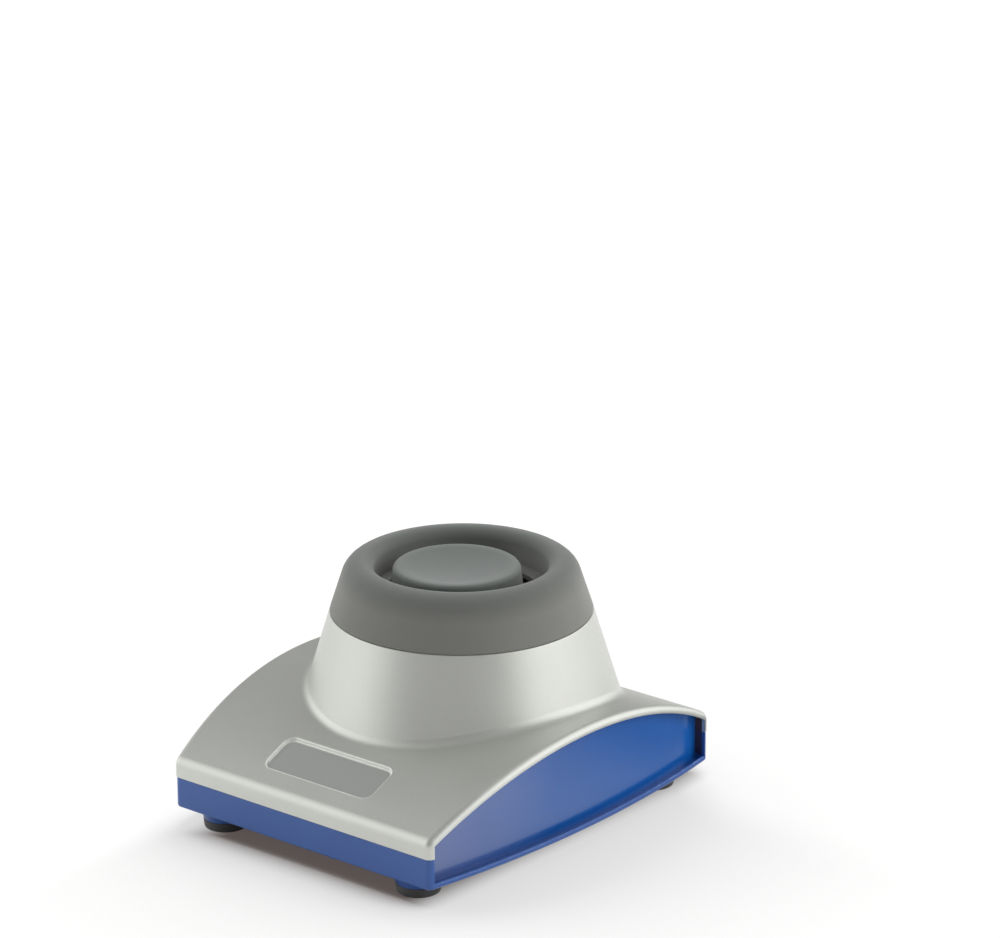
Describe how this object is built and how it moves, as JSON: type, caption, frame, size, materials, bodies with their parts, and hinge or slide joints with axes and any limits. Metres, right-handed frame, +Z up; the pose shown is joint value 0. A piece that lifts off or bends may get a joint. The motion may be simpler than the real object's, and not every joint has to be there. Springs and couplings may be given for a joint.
{
  "type": "mini vortex mixer",
  "caption": "Small bench vortex mixer: silver arched cover with a round neck, blue base and side panels, rubber collar and a sprung cup that orbits when pressed.",
  "frame": {"origin": "on the bench under the middle of the case: bottom centre of the bounding box", "axes": "+Z up, +Y to the rear (inlet side), +X to the right seen from the front"},
  "size_m": [0.1104, 0.128, 0.0742],
  "materials": {
    "silver_case": "satin silver paint",
    "blue_case": "moulded blue, satin gloss",
    "blue_panel": "gloss blue",
    "grey_rubber": "matte dark grey rubber",
    "black_rubber": "matte black rubber",
    "steel": "zinc plated",
    "bearing_steel": "polished bearing steel",
    "spring_steel": "drawn spring wire",
    "zinc_plate": "bright plated can",
    "core_steel": "stacked laminations",
    "ferrite": "sintered ferrite",
    "carbon": "sintered carbon",
    "brass": "machined",
    "bronze": "sintered bronze",
    "copper": "copper",
    "aluminium_plate": "milled sheet",
    "black_plastic": "moulded, fine texture",
    "natural_nylon": "moulded nylon",
    "board_green": "solder mask",
    "black_sleeve": "shrink sleeve"
  },
  "bodies": {
    "housing": {"top_cover": "silver_case", "base_shell": "blue_case", "side_panel_right": "blue_panel", "side_panel_left": "blue_panel", "rubber_feet": "black_rubber", "case_screws": "steel", "rubber_collar": "grey_rubber", "guide_screws": "steel", "return_springs": "spring_steel", "microswitch": "black_plastic", "dc_inlet": "black_plastic", "dc_inlet_pin": "steel", "circuit_board": "board_green", "board_screws": "steel", "filter_capacitor": "black_sleeve", "drive_transistor": "black_plastic", "lead_connector": "natural_nylon"},
    "carriage": {"motor_plate": "aluminium_plate", "plate_bushes": "natural_nylon", "motor_screws": "steel", "motor_can": "zinc_plate", "upper_bushing": "bronze", "motor_end_cap": "black_plastic", "lower_bushing": "bronze", "brushes": "carbon", "motor_terminals": "brass", "field_magnets": "ferrite"},
    "rotor": {"motor_shaft": "steel", "armature_core": "core_steel", "armature_windings": "copper", "commutator": "copper", "eccentric_hub": "steel", "counterweight": "brass", "hub_set_screw": "steel", "bearing_inner_race": "bearing_steel", "bearing_clip": "steel"},
    "ball_set": {"bearing_balls": "bearing_steel"},
    "head": {"bearing_outer_race": "bearing_steel", "head_platform": "black_plastic", "vortex_cup": "grey_rubber"},
    "switch_button": {"switch_plunger": "natural_nylon"}
  },
  "joints": [
    {"name": "head_press", "type": "slide", "parent": "housing", "child": "carriage", "axis": [0, 0, -1], "range_m": [0, 0.0015], "stiffness_N_per_m": 4000, "springref_m": -0.002, "deforming": ["return_springs"]},
    {"name": "eccentric_spin", "type": "hinge", "parent": "carriage", "child": "rotor", "pos_m": [0, 0.0085, 0], "axis": [0, 0, 1], "continuous": true},
    {"name": "head_orbit", "type": "hinge", "parent": "rotor", "child": "head", "pos_m": [0, 0.0065, 0], "axis": [0, 0, 1], "continuous": true},
    {"name": "ball_roll", "type": "hinge", "parent": "rotor", "child": "ball_set", "pos_m": [0, 0.0065, 0], "axis": [0, 0, 1], "continuous": true},
    {"name": "switch_press", "type": "slide", "parent": "housing", "child": "switch_button", "axis": [0, 0, -1], "range_m": [0, 0.0015]}
  ],
  "couplings": [
    {"joint": "head_orbit", "follows": "eccentric_spin", "ratio": -1},
    {"joint": "ball_roll", "follows": "eccentric_spin", "ratio": -0.6143},
    {"joint": "switch_press", "follows": "head_press", "ratio": 1}
  ]
}
